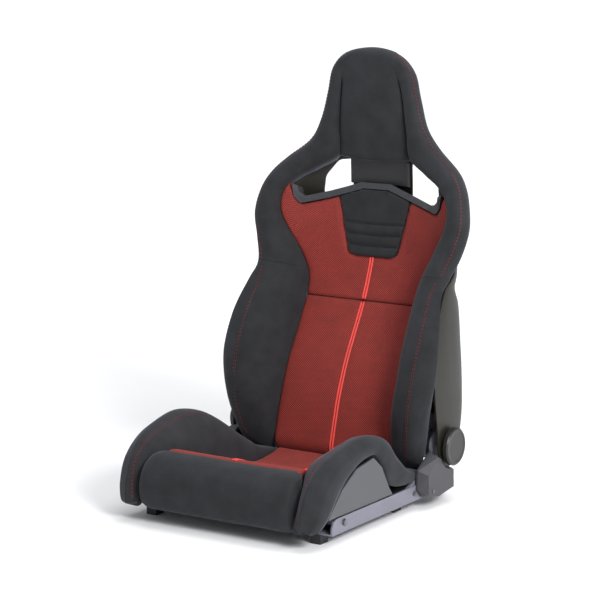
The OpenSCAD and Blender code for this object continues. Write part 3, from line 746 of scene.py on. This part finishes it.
SHELL_BACK = [[-48, -62], [50, -70], [103, -70], [206, -60], [307, -50], [345, -44], [400, -36],
              [455, -24], [510, -6], [560, 12], [600, 28], [660, 51], [730, 74], [790, 97], [829, 112]]
SHELL_EDGE = [[262, -48, 14], [262, -26, 33], [262, 19, 55], [262, 75, 84], [261, 133, 108], [258, 200, 119],
              [252, 264, 113], [246, 323, 94], [239, 360, 58], [234, 400, 50], [238, 455, 50], [226, 510, 50],
              [209, 550, 48], [185, 580, 46], [137, 625, 49], [112, 668, 65], [97, 728, 85], [83, 780, 105],
              [52, 812, 121], [5, 829, 124]]
SHELL_POWER = [[-48, 0.18], [50, 0.2], [103, 0.24], [206, 0.37], [307, 0.58], [345, 0.9], [400, 1], [829, 1]]


def shell_row(t, wall):
    """One level of the shell from edge to edge, wall inside its outer face."""
    f = rail(t, SHELL_EDGE)
    e = curve(f[1], SHELL_POWER)
    back = min(curve(f[1], SHELL_BACK), f[2] - 1) + wall
    w = f[0] - wall
    row = []
    for q in np.linspace(-1, 1, 81):
        a = math.radians(90 * math.copysign(abs(q)**(1 + 0.6 * (1 - e)), q))
        x = w * math.copysign(abs(math.sin(a))**e, a)
        row.append([x, f[1], back + (f[2] - back) * (1 - max(math.cos(a), 0)**e)])
    return row


def cutter(name, verts, faces):
    mesh = bpy.data.meshes.new(name)
    mesh.from_pydata([tuple(v) for v in verts], [], faces)
    face_outwards(mesh)
    o = bpy.data.objects.new(name, mesh)
    bpy.context.scene.collection.objects.link(o)
    return o


def prism(name, outline, a, b):
    """Closed prism between two copies of an outline, where a and b place each of its points."""
    n = len(outline)
    verts = [a(p) for p in outline] + [b(p) for p in outline]
    faces = [tuple(range(n))[::-1], tuple(range(n, 2 * n))]
    faces += [(i, (i + 1) % n, n + (i + 1) % n, n + i) for i in range(n)]
    return cutter(name, verts, faces)


def cut(o, cutters):
    for c in cutters:
        m = o.modifiers.new("cut", "BOOLEAN")
        m.operation = "DIFFERENCE"
        m.solver = "EXACT"
        m.object = c
    apply_modifiers(o)
    for c in cutters:
        bpy.data.objects.remove(c)


def rounded(outline, r, n=5):
    """An outline with its corners rounded."""
    p = np.asarray(outline, float)
    out = []
    for i in range(len(p)):
        a, b, c = p[i - 1], p[i], p[(i + 1) % len(p)]
        la, lc = np.linalg.norm(a - b), np.linalg.norm(c - b)
        k = min(r, la * 0.45, lc * 0.45)
        u, w = b + (a - b) / la * k, b + (c - b) / lc * k
        for s in np.linspace(0, 1, n):
            out.append((1 - s)**2 * u + 2 * s * (1 - s) * b + s * s * w)
    return out


SHELL_WALL = 4
CHEEK_RADIUS = 46
shell_ts = np.arange(0, len(SHELL_EDGE) - 0.999, 0.14)
outside = np.array([shell_row(t, 0) for t in shell_ts])
inside = np.array([shell_row(t, SHELL_WALL) for t in shell_ts])
shell = surface("back_shell_skin", back_to_row(np.concatenate([outside, inside[:, ::-1]], 1)), True, True)
bpy.context.scene.collection.objects.link(shell)
SLOT = rounded([[76, 516], [142, 516], [149, 526], [145, 562], [112, 598], [76, 603]], 9)
cutters = []
for side in (1, -1):
    cutters.append(prism("slot", SLOT, lambda p: back_to_row([side * p[0], p[1], -120]),
                         lambda p: back_to_row([side * p[0], p[1], 160])))
cutters.append(prism("below", [[-255, -80], [255, -80], [255, 20], [-255, 20]],
                     lambda p: back_to_row([p[0], p[1], -120]), lambda p: back_to_row([p[0], p[1], 160])))
# Below the recline axis each cheek ends in a round.
ring = [[CHEEK_RADIUS * math.cos(a), CHEEK_RADIUS * math.sin(a)] for a in np.linspace(0, -math.pi, 40)]
cheek = [[140, 0]] + ring + [[-140, 0], [-140, -90], [140, -90]]
for side in (1, -1):
    cutters.append(prism("cheek", cheek, lambda p: back_to_row([side * 250, p[1], p[0]]),
                         lambda p: back_to_row([side * 275, p[1], p[0]])))
cut(shell, cutters)
bpy.context.scene.collection.objects.unlink(shell)
bevel(shell, 0.0015, 2, 40)
finish_piece(shell, "backrest", "shell_black")
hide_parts("back_shell")

# ---- Seat cushion ---------------------------------------------------------------------

SEAT_INNER = [[190, -222, 45], [188, -205, 63], [186, -180, 105], [166, -130, 131], [156, -60, 109],
              [150, 0, 89], [144, 70, 73], [141, 130, 67], [139, 190, 71], [138, 222, 75]]
SEAT_CREST = [[214, -238, 43], [216, -232, 85], [220, -205, 137], [226, -165, 169], [231, -95, 189],
              [232, -20, 198], [231, 50, 181], [228, 98, 141], [224, 150, 95], [216, 216, 77]]
SEAT_OUTER = [[236, -226, 41], [247, -212, 77], [252, -190, 121], [254, -150, 149], [255, -90, 168],
              [256, -15, 177], [255, 48, 157], [252, 90, 119], [246, 148, 85], [236, 216, 69]]
SEAT_LOWER = [[232, -212, 31], [244, -196, 45], [250, -174, 71], [250.5, -132, 117], [250.5, -75, 149],
              [250.5, -8, 159], [250.5, 28, 131], [250.5, 58, 81], [242, 140, 63], [230, 212, 57]]
SEAT_MIDDLE = [[-172, 137], [-150, 142], [-120, 135], [-60, 107], [0, 85], [70, 69], [136, 62], [200, 69],
               [240, 81]]
SEAT_HALF = [[-172, 167], [-130, 165], [-60, 155.6], [0, 149.6], [70, 143.8], [130, 140.8], [190, 138.8],
             [240, 138]]


def seat_bolster_point(t, q):
    """Like border_point, with q from 1 to 2 running down the bolster's outer face."""
    a, c, o, l = (rail(t, k) for k in (SEAT_INNER, SEAT_CREST, SEAT_OUTER, SEAT_LOWER))
    if q <= 1:
        return over_crest(a, c, o, q)
    bulge = np.array([1.6 * math.sin(math.pi * (q - 1)), 0, 0])
    return o + (l - o) * (q - 1) + bulge


def seat_bolster_ring(t):
    qs = np.concatenate([np.linspace(0, 1, 34), np.linspace(1, 2, 8)[1:]])
    ring = [seat_bolster_point(t, q) for q in qs]
    l, a = rail(t, SEAT_LOWER), rail(t, SEAT_INNER)
    ring.append(np.array([min(l[0], 242), l[1], l[2]]))
    ring.append(np.array([a[0], a[1], a[2] - 12]))
    return np.array(ring)


def trimmed(o):
    """Cuts a cushion back to the round space in which the backrest's lower end swings."""
    turns = np.linspace(0, 2 * math.pi, 97)[:-1]
    circle = [[PIVOT_Y + SWING_RADIUS * math.cos(a), PIVOT_Z + SWING_RADIUS * math.sin(a)] for a in turns]
    bpy.context.scene.collection.objects.link(o)
    cut(o, [prism("swing", circle, lambda p: seat_to_row([-400, *p]), lambda p: seat_to_row([400, *p]))])
    bpy.context.scene.collection.objects.unlink(o)


def seat_bolster(side, word):
    ts = np.concatenate([np.linspace(0, 0.7, 10), np.arange(0.8, 9.001, 0.08)])
    rings = rounded_end([seat_bolster_ring(t) for t in ts], 0.22, 6)
    grid = seat_to_row(np.array(rings)) * np.array([side, 1, 1])
    grid = wavy(grid, 0.07, 0.0015 * side, 8.2)
    o = surface(f"seat_bolster_{word}_cover", grid, True, True)
    trimmed(o)
    finish_piece(o, "base", "black_suede")
    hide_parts(f"seat_bolster_{word}")


seat_bolster(1, "right")
seat_bolster(-1, "left")
rows, row_ups = [], []
for side in (1, -1):
    for offset in STITCH_LANES:
        ts = np.linspace(0.25, 5.6, 90)
        qs = np.interp(ts, [0, 1.5, 4, 6], [0.34, 0.42, 0.40, 0.36]) + offset
        line, ups = [], []
        for t, q in zip(ts, qs):
            p = seat_bolster_point(t, q)
            dq = seat_bolster_point(t, q + 0.01) - seat_bolster_point(t, q - 0.01)
            dt = seat_bolster_point(t + 0.02, q) - seat_bolster_point(t - 0.02, q)
            n = np.cross(dq, dt)
            n /= np.linalg.norm(n)
            if n[2] < 0:
                n = -n
            line.append(seat_to_row(p + n * STITCH_LIFT) * [side, 1, 1])
            ups.append(n * [side, 1, 1])
        rows.append(np.array(line))
        row_ups.append(np.array(ups))
stitches("seat_bolster_stitching", rows, "base", STITCH_RED, normals=row_ups)

# Thigh roll
ROLL = [[-160, 143], [-176, 144.5], [-200, 136], [-221, 116], [-233, 88], [-234, 63], [-227, 42],
        [-213, 31], [-196, 29.5], [-186, 42], [-170, 70], [-160, 90], [-160, 118]]
ROLL_HALF = 184
ROLL_MIDDLE = np.array([-194, 84])
roll_section = []
p = np.array(ROLL, float)
for i in range(len(p)):
    a, b, c, d = p[i - 1], p[i], p[(i + 1) % len(p)], p[(i + 2) % len(p)]
    for u in np.linspace(0, 1, 6)[:-1]:
        roll_section.append(hermite(b, c, (c - a) / 2, (d - b) / 2, u))
roll_section = np.array(roll_section)
roll_rows = []
roll_end = np.array([171, 177, 181, 183, ROLL_HALF])
for x in np.concatenate([-roll_end[::-1], np.linspace(-163, 163, 60), roll_end]):
    k = 1 - 0.16 * roll_off(ROLL_HALF - abs(x), 22, 1)
    ring = ROLL_MIDDLE + (roll_section - ROLL_MIDDLE) * k
    ring[:, 0] = np.maximum(ring[:, 0], -236)
    roll_rows.append([[x * float(np.interp(y, [-182, -157], [1, 0.948])), y, z] for y, z in ring])
grid = wavy(seat_to_row(np.array(roll_rows)), 0.09, 0.0018, 4.4)
roll = finish_piece(surface("thigh_roll_cover", grid, True, True), "base", "black_suede")
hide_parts("thigh_roll")

# Seat centre panel, from its seam with the roll to the rear
SEAT_FRONT = -157.5
SEAT_CROWN = 3
SEAT_GROOVE = 2.2
seat_rows = []
for y in np.concatenate([[SEAT_FRONT, -156, -153, -149], np.linspace(-144, 222, 74)]):
    row = []
    for u in np.concatenate([[-1, -0.985, -0.96], np.linspace(-0.93, 0.93, 51), [0.96, 0.985, 1]]):
        w = curve(y, SEAT_HALF) - 0.6
        z = curve(y, SEAT_MIDDLE) + 4 * u * u + SEAT_CROWN * (1 - u * u)
        z -= roll_off((1 - abs(u)) * w, 12, 6) + roll_off(y - SEAT_FRONT, 12, 5)
        z -= SEAT_GROOVE * math.exp(-(u * w / GROOVE_WIDTH)**2)
        row.append([u * w, y, z])
    seat_rows.append(row)
front = seat_to_row(np.array(seat_rows))
drop = np.array([0, 0, -0.02])
solid = np.concatenate([front[:, :1] + drop, front, front[:, -1:] + drop], 1)
seat = surface("seat_centre_cover", solid, True, True)
trimmed(seat)
finish_piece(seat, "base", "red_mesh")
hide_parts("seat_centre")
cords = []
for x in PIPING_X:
    lift = SEAT_CROWN - SEAT_GROOVE * math.exp(-(x / GROOVE_WIDTH)**2) + PIPING_LIFT
    cords.append(seat_to_row([[x, y, curve(y, SEAT_MIDDLE) + lift] for y in np.linspace(-152, 205, 60)]))
upwards = [(0, 0, 1)] * len(cords)
tubes("seat_twin_piping", cords, PIPING_RADIUS, "base", "red_mesh", PIPING_RED, 10, 1.0, upwards)

# ---- CAD pieces that stay, with rounded edges and finishes ---------------------------------

EDGES = {"side_plate_left": 0.0012, "side_plate_right": 0.0012, "mount_blocks": 0.0012, "belt_trim": 0.0016,
         "valance_left": 0.0012, "valance_right": 0.0012, "recliner_cover_left": 0.002,
         "recliner_cover_right": 0.002, "recliner_lower_arm_left": 0.001, "recliner_lower_arm_right": 0.001,
         "recliner_upper_arm_left": 0.001, "recliner_upper_arm_right": 0.001, "handwheel_left": 0.0012,
         "handwheel_right": 0.0012, "spine_block": 0.004, "base_bolts": 0.0005, "seat_pan": 0.0006}
slots = {s["node"]: s["material_slot"] for s in frame["record"]["subparts"]}
for node, o in frame["nodes"].items():
    o.data.materials.clear()
    o.data.materials.append(LOOKS[slots[node]])
    if node in EDGES:
        bevel(o, EDGES[node], 3, 25)

# ---- Floor and light -------------------------------------------------------------------------


def area_light(name, place, target, size, power):
    data = bpy.data.lights.new(name, "AREA")
    data.shape = "RECTANGLE"
    data.size, data.size_y = size
    data.energy = power
    o = bpy.data.objects.new(name, data)
    bpy.context.scene.collection.objects.link(o)
    o.location = place
    o.rotation_euler = (Vector(place) - Vector(target)).to_track_quat("Z", "Y").to_euler()


bpy.ops.mesh.primitive_plane_add(size=60, location=(0, 0, 0))
floor = bpy.context.object
floor.name = "floor"
floor_look, nodes, links, shader = new_material("studio floor")
shader.inputs["Base Color"].default_value = (0.90, 0.90, 0.91, 1)
shader.inputs["Roughness"].default_value = 0.9
where = nodes.new("ShaderNodeTexCoord").outputs["Object"]
reach = nodes.new("ShaderNodeVectorMath")
reach.operation = "LENGTH"
links.new(where, reach.inputs[0])
# The floor glows faintly away from the seat, so that it meets the pale background without an edge.
far = nodes.new("ShaderNodeMapRange")
far.inputs["From Min"].default_value = 0.9
far.inputs["From Max"].default_value = 3.5
far.inputs["To Max"].default_value = 0.7
links.new(reach.outputs["Value"], far.inputs["Value"])
shader.inputs["Emission Color"].default_value = (1, 1, 1, 1)
links.new(far.outputs["Result"], shader.inputs["Emission Strength"])
floor.data.materials.append(floor_look)
world = bpy.data.worlds.new("studio")
bpy.context.scene.world = world
world.use_nodes = True
world.node_tree.nodes["Background"].inputs["Color"].default_value = (0.95, 0.97, 1, 1)
world.node_tree.nodes["Background"].inputs["Strength"].default_value = 0.46
area_light("key", (2.7, -1.3, 2.0), (0, 0, 0.6), (1.1, 1.1), 120)
area_light("left", (-2.4, -2.0, 1.7), (0, 0, 0.5), (1.4, 1.4), 5)
area_light("top", (0.2, 0.7, 2.9), (0, 0.1, 0.4), (2.4, 2.0), 60)
